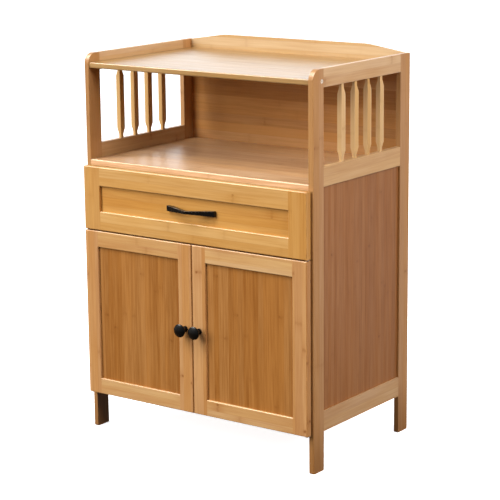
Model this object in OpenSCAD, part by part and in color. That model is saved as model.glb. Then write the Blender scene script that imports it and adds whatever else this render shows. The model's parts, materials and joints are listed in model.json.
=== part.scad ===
// Bamboo buffet cabinet: two slatted side frames carry a railed top shelf, an open niche,
// one drawer and a cupboard with a pair of doors. Sizes are in millimetres, +Z is up and
// the front faces -Y. The origin is on the floor, in the middle of the whole cabinet.

/* [Overall] */
// Width over the outer faces of the side frames
body_w = 603; // [480:1:800]
// Depth of the side frames, front face to rear face
body_d = 377; // [320:1:480]
// Height of the posts and the top side rails above the floor
body_h = 850; // [800:5:950]

/* [Side frames] */
// Thickness of posts and side rails, across the cabinet
post_t = 11.5; // [11:0.5:22]
// Depth of each post, front to back
post_d = 38.5; // [30:0.5:50]
// Height of the top side rail
top_rail_h = 38.5; // [30:0.5:50]
// Height of the middle side rail
mid_rail_h = 41.5; // [30:0.5:50]
// Height of the bottom side rail
low_rail_h = 43.5; // [30:0.5:50]
// Height of the bottom side rail's top edge above the floor
low_rail_top = 129; // [105:1:150]
// Radius of the rounded top corner of each front post
corner_r = 24; // [5:1:30]
// Radius of the rounded outer front edge of each front post
post_edge_r = 2.5; // [0.5:0.5:5]
// Small bevel round the foot of each post
foot_bevel = 2; // [0.5:0.5:4]
// Thickness of the side panels
side_panel_t = 4; // [3:0.5:5]
// Depth of the side panels behind the outer faces of the posts
side_panel_set = 5; // [1:0.5:6]

/* [Spindles] */
// Number of spindles in each side frame
spindle_n = 4; // [3:1:5]
// Distance between spindle centres
spindle_pitch = 50; // [35:0.2:55]
// Width of a spindle's middle, front to back
spindle_w = 15; // [10:0.5:20]
// Thickness of a spindle's middle, across the cabinet
spindle_t = 11; // [8:0.5:11]
// Width of a spindle's neck, front to back
neck_w = 8.5; // [7:0.5:14]
// Thickness of a spindle's neck, across the cabinet
neck_t = 6.5; // [5:0.5:8]
// Length of the straight neck at each end of a spindle
neck_l = 9; // [3:1:20]
// Length of the taper from a neck to the full section
taper_l = 13; // [8:1:30]

/* [Shelves and boards] */
// Thickness of the top and middle shelves
shelf_t = 12.5; // [10:0.5:20]
// Depth of the top shelf's surface below the top of the side frames
top_shelf_drop = 19.5; // [12:1:60]
// Height of the middle shelf's surface above the floor
mid_shelf_z = 616.5; // [560:0.5:640]
// Depth of the middle side rails' lower edge below the middle shelf's surface
mid_rail_drop = 9; // [0:1:20]
// Distance of the top shelf's front edge behind the posts' front faces
top_shelf_set = 3; // [0:0.5:8]
// Radius of the rounded front edges of the shelves
nose_r = 3; // [1:0.5:5]
// Thickness of the cupboard's floor
floor_t = 12; // [9:0.5:18]
// Height of the cross rail between the drawer and the doors
cross_rail_h = 20; // [16:1:24]
// Depth of the cross rail, front to back
cross_rail_d = 40; // [30:1:60]
// Thickness of the loose shelf in the cupboard
loose_shelf_t = 12; // [9:0.5:18]
// Height of the loose shelf's underside above the floor
loose_shelf_z = 270; // [200:1:350]
// Distance of the loose shelf behind the posts' front faces
loose_shelf_set = 11; // [8:1:12]

/* [Back] */
// Thickness of the back panels and of the gallery board
back_t = 7; // [5:0.5:9]
// Rise of the gallery board's middle above the side frames
crest_rise = 14; // [3:0.5:20]
// Drop of the gallery board's ends below its middle
shoulder_drop = 14; // [6:0.5:18]
// Length of each sloping shoulder of the gallery board
shoulder_l = 94; // [50:1:150]
// Radius that softens the start of each shoulder
shoulder_r = 150; // [40:5:200]
// Width of the rebate in the rear posts that holds the back panels
rebate_w = 5; // [3:0.5:7]

/* [Drawer] */
// Depth of the drawer front's top edge below the middle shelf's surface
drawer_drop = 12.5; // [8:0.5:16]
// Height of the drawer front
drawer_h = 141; // [120:1:160]
// Thickness of the drawer front
drawer_t = 16.5; // [14:0.5:22]
// Gap between the drawer front and the posts
drawer_gap = 1.5; // [0.5:0.1:3]
// Height of the drawer front's rails
drawer_rail_w = 42; // [25:1:45]
// Width of the drawer front's stiles
drawer_stile_w = 45; // [25:1:50]
// Depth of the drawer front's sunk panel behind its frame
drawer_sink = 6; // [3:0.5:7]
// Thickness of the drawer front's sunk panel
drawer_panel_t = 8; // [5:0.5:9]
// Thickness of the boards of the drawer box
box_t = 12; // [9:0.5:15]
// Distance of the drawer box's top edge below the top of the drawer front
box_drop = 16; // [12:1:40]
// Distance of the drawer box's underside above the bottom of the drawer front
box_up = 26; // [23:1:40]
// Space between the drawer box and the back panel
box_back_gap = 28.5; // [12:0.5:120]
// Thickness of the drawer's bottom
box_bottom_t = 5; // [3:0.5:6]
// Height of the drawer's bottom above the lower edge of its sides
box_bottom_up = 8; // [5:1:15]

/* [Doors] */
// Gap between the drawer front and the doors below it
door_drop = 3; // [3:0.5:8]
// Height of the doors' bottom edge above the floor
door_bottom = 86; // [75:0.5:100]
// Thickness of the door frames
door_t = 16; // [14:0.5:20]
// Gap between the doors and the posts
door_gap = 2; // [1.8:0.1:3]
// Gap between the two doors
door_split = 2; // [1.5:0.1:4]
// Distance of the doors' and the drawer front's ends inside the outer faces
front_inset = 4.7; // [4:0.1:9]
// Width of the door frame members
door_frame_w = 36; // [28:1:45]
// Depth of the sunk door panels behind their frames
door_sink = 5; // [3:0.5:6]
// Thickness of the sunk door panels
door_panel_t = 5; // [4:0.5:6]

/* [Handles] */
// Length of the drawer pull
pull_l = 127; // [80:1:160]
// Reach of the pull's middle in front of the drawer panel
pull_reach = 27.5; // [20:0.5:32]
// Thickness of the pull's two arms
pull_t = 7; // [5:0.5:9]
// Height of the pull at its ends
pull_end_h = 12; // [9:0.5:18]
// Height of the pull at its middle
pull_mid_h = 6; // [4:0.5:9]
// Length of the flat pad at each end of the pull
pull_pad_l = 14; // [10:0.5:18]
// Diameter of a knob's head
knob_d = 29; // [20:0.5:34]
// Reach of a knob in front of its door
knob_l = 27.5; // [22:0.5:34]
// Diameter of a knob's base
knob_base_d = 13; // [11.5:0.5:18]
// Diameter of a knob's neck
knob_neck_d = 9.5; // [7:0.5:11]

/* [Hinges and catches] */
// Distance of the hinge pins from the doors' outer ends
pivot_in = 5; // [4:0.1:5]
// Distance of the hinge pins in front of the doors' back faces
pivot_fwd = 8.5; // [8:0.1:9]
// Diameter of the hinge pins
pin_d = 4; // [3:0.1:4]
// Depth of the hinge bushes in the doors' top and bottom edges
bush_l = 10; // [6:0.5:14]
// Outer diameter of the hinge bushes
bush_d = 7; // [6:0.1:7.5]
// Thickness of the hinge plates
plate_t = 1.6; // [1:0.1:1.6]
// Length of a hinge plate behind the posts' front faces
plate_l = 32; // [30:1:36]
// Width of a hinge plate inside the cupboard
plate_w = 20; // [14:1:30]
// Width of each magnetic catch
catch_w = 30; // [20:1:40]
// Height of each magnetic catch
catch_h = 11; // [8:0.5:14]
// Depth of each magnetic catch
catch_d = 14; // [10:0.5:20]
// Distance of each catch's middle from its door's inner end
catch_in = 24; // [21:1:60]

/* [Runners and fasteners] */
// Space between a drawer side and a post, filled by the runner pair
runner_t = 13; // [12.5:0.1:16]
// Height of the runner channels fixed to the posts
runner_h = 34; // [28:1:45]
// Sheet thickness of the runners
runner_sheet = 1.5; // [1:0.1:2]
// Height of the runners' lower edge above the drawer box's underside
runner_up = 24; // [10:1:40]
// Distance of the runners' front ends behind the posts' front faces
runner_set = 4; // [1:0.5:9]
// Diameter of the shelf bolts' shanks
bolt_d = 6; // [4:0.5:6]
// Diameter of the shelf bolts' sunk heads
bolt_head_d = 9; // [8:0.5:10]
// Length of the shelf bolts inside the top shelf
bolt_grip = 30; // [20:1:45]
// Distance of the shelf bolts behind the posts' front faces
bolt_y = 33; // [12:0.5:33]
// Diameter of the pins that carry the loose shelf
shelf_pin_d = 5; // [4:0.5:7]
// Reach of those pins inside the cupboard
shelf_pin_l = 8; // [5:0.5:15]

/* [Hidden] */

// Clearances
panel_fit = 0.1;    // each side of a panel or a tenon in its groove
end_fit = 0.5;      // past the end of a panel, a tenon or a dowel
press_fit = 0.04;   // on the diameter of a bush that stays put
run_fit = 0.05;     // round a pin that turns and round a dowel
slack_fit = 0.2;    // round a screw that passes through
slide_fit = 0.3;    // between the sliding runner channels
gap_fit = 0.3;      // between a hinge plate and a post
shelf_fit = 1;      // at each end of the loose shelf
shelf_back_fit = 2; // behind the loose shelf
lift_fit = 0.4;     // between a door's edge and its hinge plate
magnet_fit = 0.3;   // between a catch and its strike

// Joints
tongue = 5;                           // how far a panel goes into its groove
groove_d = tongue + end_fit;          // depth of a panel's groove
dowel_d = 6;                          // dowels of the shelves and the cross rail
dowel_y = 17;                         // from a post's front or rear face to its dowels
dowel_out = 8;                        // length of a dowel in a post
dowel_in = 20;                        // length of a dowel in a shelf
peg_l = 8;                            // length of the spindles' round pegs
peg_edge = 2;                         // peg thinner than its neck by this
frame_tenon_l = 14;                   // length of the tenons of the doors and the drawer front
tenon_wood = 5;                       // wood left between a side rail's tenon and a dowel
tenon_max = 12;                       // longest tenon of a side rail
tenon_l = min(tenon_max, post_d - dowel_y - dowel_d / 2 - tenon_wood);
bolt_wood = 3;                        // wood left between a bolt's head and a tenon
tenon_edge = groove_d;                // shoulder above and below a tenon
$fn = 64;

// Front and back planes, with the whole cabinet centred front to back
knob_reach = door_gap + door_t + knob_l;
handle_reach = drawer_gap + drawer_t - drawer_sink + pull_reach;
reach = max(knob_reach, handle_reach);
y_back = (body_d + reach) / 2;
y_front = y_back - body_d;
y_panel = y_back - back_t;
x_out = body_w / 2;
x_in = x_out - post_t;

// Side frame levels
rail_y0 = y_front + post_d;
rail_l = body_d - 2 * post_d;
top_rail_z = body_h - top_rail_h;
low_rail_z = low_rail_top - low_rail_h;
mid_rail_z = mid_shelf_z - mid_rail_drop;
mid_rail_top = mid_rail_z + mid_rail_h;
side_groove_x = x_out - side_panel_set - side_panel_t;

// Shelf and back levels
top_shelf_z = body_h - top_shelf_drop;
top_shelf_under = top_shelf_z - shelf_t;
mid_shelf_under = mid_shelf_z - shelf_t;
floor_z = door_bottom - lift_fit;
floor_top = floor_z + floor_t;
drawer_top = mid_shelf_z - drawer_drop;
drawer_bottom_z = drawer_top - drawer_h;
door_top = drawer_bottom_z - door_drop;
cross_z = door_top + lift_fit + plate_t;
bolt_z = top_shelf_z - shelf_t / 2;
crest_z = body_h + crest_rise;
end_z = crest_z - shoulder_drop;

// Drawer planes
y_drawer_back = y_front - drawer_gap;
y_drawer = y_drawer_back - drawer_t;
y_drawer_panel = y_drawer + drawer_sink;
x_front_end = x_out - front_inset;
x_drawer_stile = x_front_end - drawer_stile_w;
x_box = x_in - runner_t;
y_box = y_drawer_back + box_t;
box_z = drawer_bottom_z + box_up;
box_h = drawer_h - box_up - box_drop;
box_l = y_panel - box_back_gap - y_box;
runner_z = box_z + runner_up;
runner_l = y_back - post_d / 2 - y_front - runner_set;
pull_z = drawer_top - drawer_h / 2;
pull_screw_x = pull_l / 2 - pull_pad_l / 2;

// Door planes
y_door_back = y_front - door_gap;
y_door = y_door_back - door_t;
x_split = door_split / 2;
door_w = x_front_end - x_split;
door_h = door_top - door_bottom;
pivot_x = x_front_end - pivot_in;
pivot_y = y_door_back - pivot_fwd;
knob_x = x_split + door_frame_w / 2;
knob_z = (door_top + door_bottom) / 2;

// Screws and bolt heads
bolt_head_h = 3.5;
bolt_sunk = 0.5;
bolt_socket = 4.6;
screw_d = 4;
screw_head_d = 8;
screw_head_h = 2.4;
plate_screw_d = 3;
plate_screw_l = 9;
plate_screw_head_h = 1.4;
plate_screw_front = 8;                // from the posts' front faces to a plate's front screw
plate_screw_rear = 5;                 // from a plate's rear end to its rear screw
tab_edge = 1.5;                       // metal round a hinge pin
pin_short = 1;                        // how far a pin stops before its bush's inner end
slot_w = 1;                           // cross slots of the machine screws
slot_l = 4.8;
slot_d = 1.2;
pull_thread = 5;                      // depth of a pull's screw holes
knob_thread = 8;                      // depth of a knob's screw hole

// Knob, catches and strikes
knob_base_h = 3;                      // height of the base's straight edge
knob_neck_end = 0.26 * knob_l;        // where the neck starts to widen
knob_rim_z = 0.76 * knob_l;           // height of the widest place of the head
knob_rim_r = 3;                       // rounding of the head's edge
strike_t = 1;
strike_drop = 1;                      // top of a strike below its door's top edge
strike_less = 3;                      // strike lower than its catch by this
strike_part = 2 / 3;                  // width of a strike, as a part of its catch's width
catch_x = x_split + catch_in;

BAMBOO = "burlywood";
PANEL = "peru";
BLACK = [0.12, 0.12, 0.13];
STEEL = "silver";

// A plain board between two opposite corners
module board(low, high) {
    translate(low) cube(high - low);
}

// Draws its children on the right (+1) or mirrored on the left (-1)
module on_side(s) {
    mirror([s < 0 ? 1 : 0, 0, 0]) children();
}

// Extrudes an outline drawn as (Y, Z) from x = x0 over the length l
module across(x0, l) {
    translate([x0, 0, 0]) rotate([90, 0, 90]) linear_extrude(l) children();
}

// Extrudes an outline drawn as (X, Z) from y = y0 backwards over the length l
module backwards(y0, l) {
    translate([0, y0 + l, 0]) rotate([90, 0, 0]) linear_extrude(l) children();
}

// Side frames, modelled on the right

module post_outline(y0, round_r) {
    y1 = y0 + post_d;
    polygon([
        [y0 + foot_bevel, 0], [y1 - foot_bevel, 0], [y1, foot_bevel], [y1, body_h],
        [y0 + round_r, body_h], [y0 + round_r, body_h - round_r], [y0, body_h - round_r],
        [y0, foot_bevel]
    ]);
    if (round_r > 0) {
        intersection() {
            translate([y0 + round_r, body_h - round_r]) circle(round_r);
            translate([y0, body_h - round_r]) square(round_r);
        }
    }
}

// Space for the side panel's edges, shared by posts and rails
module side_panel_groove() {
    board(
        [side_groove_x - panel_fit, rail_y0 - groove_d, low_rail_top - groove_d],
        [side_groove_x + side_panel_t + panel_fit, rail_y0 + rail_l + groove_d, mid_rail_z + groove_d]
    );
}

// Lower and upper edge of the tenons of a side rail; the top one stays clear of the shelf bolt
function tenon_edges(z, h) = [
    abs(z + h - body_h) < 0.01 ? max(z + tenon_edge, bolt_z + bolt_head_d / 2 + bolt_wood) : z + tenon_edge,
    z + h - tenon_edge
];

// A side rail's tenons, made larger by a clearance for the mortises
module side_tenons(z, h, fit, extra) {
    e = tenon_edges(z, h);
    for (y = [rail_y0 - tenon_l - extra, rail_y0 + rail_l]) board(
        [side_groove_x - fit, y, e[0] - fit],
        [side_groove_x + side_panel_t + fit, y + tenon_l + extra, e[1] + fit]
    );
}

module side_mortises() {
    side_tenons(top_rail_z, top_rail_h, panel_fit, end_fit);
    side_tenons(mid_rail_z, mid_rail_h, panel_fit, end_fit);
    side_tenons(low_rail_z, low_rail_h, panel_fit, end_fit);
}

// One hole on each side of the cabinet's middle plane, centred on a post's inner face
module inner_face_hole(y, z, depth_in, depth_out, d) {
    translate([x_in - depth_in, y, z]) rotate([0, 90, 0]) cylinder(h = depth_in + depth_out, d = d);
}

module shelf_pin_holes() {
    for (y = [y_front + post_d / 2, y_back - post_d / 2])
        inner_face_hole(y, loose_shelf_z - shelf_pin_d / 2, 0, dowel_out, shelf_pin_d + 2 * run_fit);
}

// Right-hand places of all dowels, as (Y, Z)
dowel_places = [
    [y_front + dowel_y, mid_shelf_z - shelf_t / 2], [y_back - dowel_y, mid_shelf_z - shelf_t / 2],
    [y_front + dowel_y, floor_z + floor_t / 2], [y_back - dowel_y, floor_z + floor_t / 2],
    [y_front + dowel_y, cross_z + cross_rail_h / 2], [y_back - dowel_y, bolt_z]
];

module dowel_holes() {
    for (p = dowel_places)
        inner_face_hole(p[0], p[1], dowel_in + end_fit, dowel_out + end_fit, dowel_d + 2 * run_fit);
}

module dowels() {
    color(BAMBOO) for (s = [-1, 1]) on_side(s)
        for (p = dowel_places) inner_face_hole(p[0], p[1], dowel_in, dowel_out, dowel_d);
}

// Front post seen from above, with its outer front edge rounded
module front_post_plan() {
    translate([x_in, y_front]) square([post_t - post_edge_r, post_d]);
    translate([x_in, y_front + post_edge_r]) square([post_t, post_d - post_edge_r]);
    intersection() {
        translate([x_out - post_edge_r, y_front + post_edge_r]) circle(post_edge_r);
        translate([x_out - post_edge_r, y_front]) square(post_edge_r);
    }
}

module front_post() {
    color(BAMBOO) difference() {
        intersection() {
            across(x_in, post_t) post_outline(y_front, corner_r);
            linear_extrude(body_h) front_post_plan();
        }
        side_panel_groove();
        side_mortises();
        shelf_pin_holes();
        dowel_holes();
        translate([0, y_front + bolt_y, bolt_z]) rotate([0, 90, 0]) {
            cylinder(h = x_out + 1, d = bolt_d + 2 * slack_fit);
            translate([0, 0, x_out - bolt_head_h - bolt_sunk])
                cylinder(h = bolt_head_h + 1, d = bolt_head_d + 2 * slack_fit);
        }
    }
}

module rear_post() {
    color(BAMBOO) difference() {
        across(x_in, post_t) post_outline(y_back - post_d, 0);
        side_panel_groove();
        side_mortises();
        shelf_pin_holes();
        dowel_holes();
        board([x_in - 1, y_panel, floor_z], [x_in + rebate_w, y_back + 1, top_shelf_under]);
    }
}

module side_rail(z, h) {
    color(BAMBOO) {
        difference() {
            board([x_in, rail_y0, z], [x_out, rail_y0 + rail_l, z + h]);
            side_panel_groove();
            spindle_holes();
        }
        side_tenons(z, h, 0, 0);
    }
}

module side_panel() {
    color(PANEL) board(
        [side_groove_x, rail_y0 - tongue, low_rail_top - tongue],
        [side_groove_x + side_panel_t, rail_y0 + rail_l + tongue, mid_rail_z + tongue]
    );
}

// Bar outline that narrows to a neck at both ends, drawn about a centre line
module spindle_outline(full, neck) {
    z0 = mid_rail_top + neck_l;
    z1 = top_rail_z - neck_l;
    polygon([
        [-neck / 2, mid_rail_top], [neck / 2, mid_rail_top], [neck / 2, z0],
        [full / 2, z0 + taper_l], [full / 2, z1 - taper_l], [neck / 2, z1],
        [neck / 2, top_rail_z], [-neck / 2, top_rail_z], [-neck / 2, z1],
        [-full / 2, z1 - taper_l], [-full / 2, z0 + taper_l], [-neck / 2, z0]
    ]);
}

// Places its children at every spindle's axis
module at_spindles() {
    first = (y_front + y_back) / 2 - (spindle_n - 1) / 2 * spindle_pitch;
    for (i = [0 : spindle_n - 1]) translate([x_out - post_t / 2, first + i * spindle_pitch, 0]) children();
}

// Round peg through both necks of a spindle
module spindle_peg(fit, extra) {
    z0 = mid_rail_top - peg_l - extra;
    translate([0, 0, z0]) cylinder(h = top_rail_z + peg_l + extra - z0, d = neck_t - peg_edge + 2 * fit);
}

module spindle_holes() {
    at_spindles() spindle_peg(run_fit, end_fit);
}

module spindles() {
    color(BAMBOO) at_spindles() {
        intersection() {
            across(-spindle_t, 2 * spindle_t) spindle_outline(spindle_w, neck_w);
            backwards(-spindle_w, 2 * spindle_w) spindle_outline(spindle_t, neck_t);
        }
        spindle_peg(0, 0);
    }
}

// Shelves and boards

// Shelf outline (Y, Z) with a rounded front edge
module nosed_outline(y0, y1, z0, t, square_below = false) {
    r = min(nose_r, t / 2);
    low_r = square_below ? 0 : r;
    translate([y0 + r, z0]) square([y1 - y0 - r, t]);
    translate([y0, z0 + low_r]) square([r, t - r - low_r]);
    translate([y0 + r, z0 + t - r]) circle(r);
    if (!square_below) translate([y0 + r, z0 + r]) circle(r);
}

module top_shelf() {
    color(BAMBOO) difference() {
        across(-x_in, 2 * x_in)
            nosed_outline(y_front + top_shelf_set, y_panel, top_shelf_under, shelf_t);
        for (s = [-1, 1]) on_side(s) {
            inner_face_hole(y_front + bolt_y, bolt_z, bolt_grip, 1, bolt_d + 2 * run_fit);
            dowel_holes();
        }
    }
}

module middle_shelf() {
    color(BAMBOO) difference() {
        across(-x_in, 2 * x_in) nosed_outline(y_front, y_panel, mid_shelf_under, shelf_t, true);
        for (s = [-1, 1]) on_side(s) dowel_holes();
    }
}

// Points of the arc that softens a shoulder, from the level top down to the slope
function shoulder_arc() = let (
    lean = atan2(shoulder_drop, shoulder_l),
    start_x = x_in - shoulder_l - shoulder_r * tan(lean / 2)
) [
    for (i = [0 : 8]) let (a = lean * i / 8)
        [start_x + shoulder_r * sin(a), crest_z - shoulder_r * (1 - cos(a))]
];

module gallery_board() {
    color(BAMBOO) for (s = [-1, 1]) on_side(s) backwards(y_panel, back_t) polygon(concat(
        [[0, top_shelf_under], [0, crest_z]], shoulder_arc(), [[x_in, end_z], [x_in, top_shelf_under]]
    ));
}

module back_panel(z0, z1) {
    x = x_in + rebate_w - panel_fit;
    color(PANEL) board([-x, y_panel, z0], [x, y_back, z1]);
}

module cross_rail() {
    color(BAMBOO) difference() {
        board([-x_in, y_front, cross_z], [x_in, y_front + cross_rail_d, cross_z + cross_rail_h]);
        hinge_pilots(cross_z);
        for (s = [-1, 1]) on_side(s) dowel_holes();
    }
}

module cupboard_floor() {
    color(BAMBOO) difference() {
        board([-x_in, y_front, floor_z], [x_in, y_panel, floor_top]);
        hinge_pilots(floor_z);
        for (s = [-1, 1]) on_side(s) dowel_holes();
    }
}

module loose_shelf() {
    color(BAMBOO) board(
        [shelf_fit - x_in, y_front + loose_shelf_set, loose_shelf_z],
        [x_in - shelf_fit, y_panel - shelf_back_fit, loose_shelf_z + loose_shelf_t]
    );
}

module shelf_pins() {
    color(STEEL) for (s = [-1, 1]) on_side(s)
        for (y = [y_front + post_d / 2, y_back - post_d / 2])
            inner_face_hole(
                y, loose_shelf_z - shelf_pin_d / 2, shelf_pin_l, dowel_out - end_fit, shelf_pin_d
            );
}

module shelf_bolts() {
    tip = x_in - bolt_grip + end_fit;
    head = x_out - bolt_sunk - bolt_head_h;
    color(STEEL) for (s = [-1, 1]) on_side(s)
        translate([tip, y_front + bolt_y, bolt_z]) rotate([0, 90, 0]) difference() {
            union() {
                cylinder(h = head - tip + 1, d = bolt_d);
                translate([0, 0, head - tip]) cylinder(h = bolt_head_h, d = bolt_head_d);
            }
            translate([0, 0, head - tip + bolt_head_h / 3])
                cylinder(h = bolt_head_h, d = bolt_socket, $fn = 6);
        }
}

// Drawer runners: a channel on the posts and a smaller one on the drawer, one inside the other

module channel_outline(x0, x1, z0, z1, sheet, open_in) {
    difference() {
        translate([x0, z0]) square([x1 - x0, z1 - z0]);
        translate([open_in ? x0 - 1 : x0 + sheet, z0 + sheet])
            square([x1 - x0 - sheet + 1, z1 - z0 - 2 * sheet]);
    }
}

module cabinet_runners() {
    color(STEEL) for (s = [-1, 1]) on_side(s)
        backwards(y_front + runner_set, runner_l) channel_outline(
            x_in - runner_t + runner_sheet + slide_fit, x_in,
            runner_z, runner_z + runner_h, runner_sheet, true
        );
}

module drawer_runners() {
    step = runner_sheet + slide_fit;
    color(STEEL) for (s = [-1, 1]) on_side(s)
        backwards(y_box, box_l) channel_outline(
            x_box, x_in - step, runner_z + step, runner_z + runner_h - step, runner_sheet, false
        );
}

// Drawer front and drawer box

// Space for the sunk panel's edges; the frame parts share it
module drawer_groove() {
    w = x_drawer_stile + groove_d;
    board(
        [-w, y_drawer_panel - panel_fit, drawer_bottom_z + drawer_rail_w - groove_d],
        [w, y_drawer_panel + drawer_panel_t + panel_fit, drawer_top - drawer_rail_w + groove_d]
    );
}

// Tenons at both ends of a drawer front rail, made larger by a clearance for the mortises
module drawer_tenons(z, fit, extra) {
    for (s = [-1, 1]) on_side(s) board(
        [x_drawer_stile, y_drawer_panel - fit, z + tenon_edge - fit],
        [x_drawer_stile + frame_tenon_l + extra, y_drawer_panel + drawer_panel_t + fit,
            z + drawer_rail_w - tenon_edge + fit]
    );
}

module drawer_stile() {
    color(BAMBOO) difference() {
        board([x_drawer_stile, y_drawer, drawer_bottom_z], [x_front_end, y_drawer_back, drawer_top]);
        drawer_groove();
        for (z = [drawer_bottom_z, drawer_top - drawer_rail_w]) drawer_tenons(z, panel_fit, end_fit);
    }
}

module drawer_rail(z) {
    color(BAMBOO) {
        difference() {
            board([-x_drawer_stile, y_drawer, z], [x_drawer_stile, y_drawer_back, z + drawer_rail_w]);
            drawer_groove();
        }
        drawer_tenons(z, 0, 0);
    }
}

// Screw holes of the pull, straight through the drawer front
module pull_screw_holes() {
    for (x = [-pull_screw_x, pull_screw_x]) {
        translate([x, y_box + 1, pull_z]) rotate([90, 0, 0])
            cylinder(h = box_t + drawer_t + 2, d = screw_d + 2 * slack_fit);
    }
}

module drawer_front_panel() {
    w = x_drawer_stile + tongue;
    color(PANEL) difference() {
        board(
            [-w, y_drawer_panel, drawer_bottom_z + drawer_rail_w - tongue],
            [w, y_drawer_panel + drawer_panel_t, drawer_top - drawer_rail_w + tongue]
        );
        pull_screw_holes();
    }
}

module drawer_bottom_groove() {
    board(
        [-x_box + box_t - groove_d, y_box - groove_d, box_z + box_bottom_up - panel_fit],
        [x_box - box_t + groove_d, y_box + box_l - box_t + groove_d,
            box_z + box_bottom_up + box_bottom_t + panel_fit]
    );
}

module drawer_box_front() {
    color(BAMBOO) difference() {
        board([-x_box, y_drawer_back, box_z], [x_box, y_box, box_z + box_h]);
        drawer_bottom_groove();
        pull_screw_holes();
    }
}

module drawer_side() {
    color(BAMBOO) difference() {
        board([x_box - box_t, y_box, box_z], [x_box, y_box + box_l, box_z + box_h]);
        drawer_bottom_groove();
    }
}

module drawer_back() {
    color(BAMBOO) difference() {
        board([box_t - x_box, y_box + box_l - box_t, box_z], [x_box - box_t, y_box + box_l, box_z + box_h]);
        drawer_bottom_groove();
    }
}

module drawer_bottom() {
    color(PANEL) board(
        [-x_box + box_t - tongue, y_box - tongue, box_z + box_bottom_up],
        [x_box - box_t + tongue, y_box + box_l - box_t + tongue, box_z + box_bottom_up + box_bottom_t]
    );
}

// Bow-shaped pull: two straight arms that meet in a kink, seen from above as (X, Y)
module pull_plan() {
    half = pull_l / 2;
    flat = half - pull_pad_l;
    front = y_drawer_panel - pull_reach;
    polygon([
        [-half, y_drawer_panel], [-flat, y_drawer_panel], [0, front + pull_t], [flat, y_drawer_panel],
        [half, y_drawer_panel], [half, y_drawer_panel - pull_t], [0, front], [-half, y_drawer_panel - pull_t]
    ]);
}

module drawer_pull() {
    half = pull_l / 2;
    color(BLACK) difference() {
        intersection() {
            translate([0, 0, pull_z - pull_end_h]) linear_extrude(2 * pull_end_h) pull_plan();
            backwards(y_drawer_panel - pull_reach - 1, pull_reach + 2) translate([0, pull_z]) polygon([
                [-half, -pull_end_h / 2], [0, -pull_mid_h / 2], [half, -pull_end_h / 2],
                [half, pull_end_h / 2], [0, pull_mid_h / 2], [-half, pull_end_h / 2]
            ]);
        }
        for (x = [-pull_screw_x, pull_screw_x]) {
            translate([x, y_drawer_panel + 1, pull_z]) rotate([90, 0, 0])
                cylinder(h = pull_thread + 1, d = screw_d + 2 * run_fit);
        }
    }
}

// Machine screw along -Y: its head's flat side is at the given point
module machine_screw(length) {
    rotate([90, 0, 0]) difference() {
        union() {
            translate([0, 0, -screw_head_h]) cylinder(h = screw_head_h, d = screw_head_d);
            cylinder(h = length, d = screw_d);
        }
        for (a = [0, 90]) rotate([0, 0, a])
            translate([-slot_l / 2, -slot_w / 2, -screw_head_h - 1]) cube([slot_l, slot_w, slot_d + 1]);
    }
}

module pull_screws() {
    color(STEEL) for (x = [-pull_screw_x, pull_screw_x]) {
        translate([x, y_box, pull_z]) machine_screw(y_box - y_drawer_panel + pull_thread - end_fit);
    }
}

// Doors, modelled on the right

// A door panel's outline grown by the given edge, with a clearance on both faces
module door_core(edge, fit) {
    board(
        [x_split + door_frame_w - edge, y_door + door_sink - fit, door_bottom + door_frame_w - edge],
        [x_front_end - door_frame_w + edge, y_door + door_sink + door_panel_t + fit,
            door_top - door_frame_w + edge]
    );
}

// Tenons of a door rail, made larger by a clearance for the mortises
module door_tenons(z, fit, extra) {
    for (x = [x_split + door_frame_w - frame_tenon_l - extra, x_front_end - door_frame_w]) board(
        [x, y_door + door_sink - fit, z + tenon_edge - fit],
        [x + frame_tenon_l + extra, y_door + door_sink + door_panel_t + fit,
            z + door_frame_w - tenon_edge + fit]
    );
}

// What all frame members of a door lose: the panel's groove and the mortises
module door_cuts() {
    door_core(groove_d, panel_fit);
    for (z = [door_bottom, door_top - door_frame_w]) door_tenons(z, panel_fit, end_fit);
}

module door_hinge_stile() {
    color(BAMBOO) difference() {
        board([x_front_end - door_frame_w, y_door, door_bottom], [x_front_end, y_door_back, door_top]);
        door_cuts();
        for (z = [door_bottom - 1, door_top - bush_l]) {
            translate([pivot_x, pivot_y, z]) cylinder(h = bush_l + 1, d = bush_d + press_fit);
        }
    }
}

module door_meeting_stile() {
    color(BAMBOO) difference() {
        board([x_split, y_door, door_bottom], [x_split + door_frame_w, y_door_back, door_top]);
        door_cuts();
        translate([knob_x, y_door_back + 1, knob_z]) rotate([90, 0, 0])
            cylinder(h = door_t + 2, d = screw_d + 2 * slack_fit);
    }
}

module door_rail(z) {
    x1 = x_front_end - door_frame_w;
    color(BAMBOO) {
        difference() {
            board([x_split + door_frame_w, y_door, z], [x1, y_door_back, z + door_frame_w]);
            door_core(groove_d, panel_fit);
        }
        door_tenons(z, 0, 0);
    }
}

module door_panel() {
    color(PANEL) door_core(tongue, 0);
}

// Mushroom knob turned about its own axis: a base, a waisted neck and a domed head
module knob_profile() {
    neck_r = knob_neck_d / 2;
    rim_x = knob_d / 2 - knob_rim_r;
    under_z = knob_rim_z - 0.8 * knob_rim_r;
    rise = knob_l - knob_rim_z;
    dome_r = 0.98 * (rim_x ^ 2 + rise ^ 2 - knob_rim_r ^ 2) / (2 * (rise - knob_rim_r));
    lift = dome_r - rise;
    cut_z = knob_l - dome_r + dome_r * lift / norm([rim_x, lift]);
    square([knob_base_d / 2, knob_base_h]);
    square([neck_r, knob_rim_z]);
    polygon([
        [0, knob_neck_end], [neck_r, knob_neck_end], [rim_x + knob_rim_r / 2, under_z],
        [rim_x, cut_z + 0.5], [0, cut_z + 0.5]
    ]);
    translate([rim_x, knob_rim_z]) circle(knob_rim_r);
    intersection() {
        translate([0, knob_l - dome_r]) circle(dome_r);
        translate([0, cut_z]) square([knob_d / 2, knob_l]);
    }
}

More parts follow.
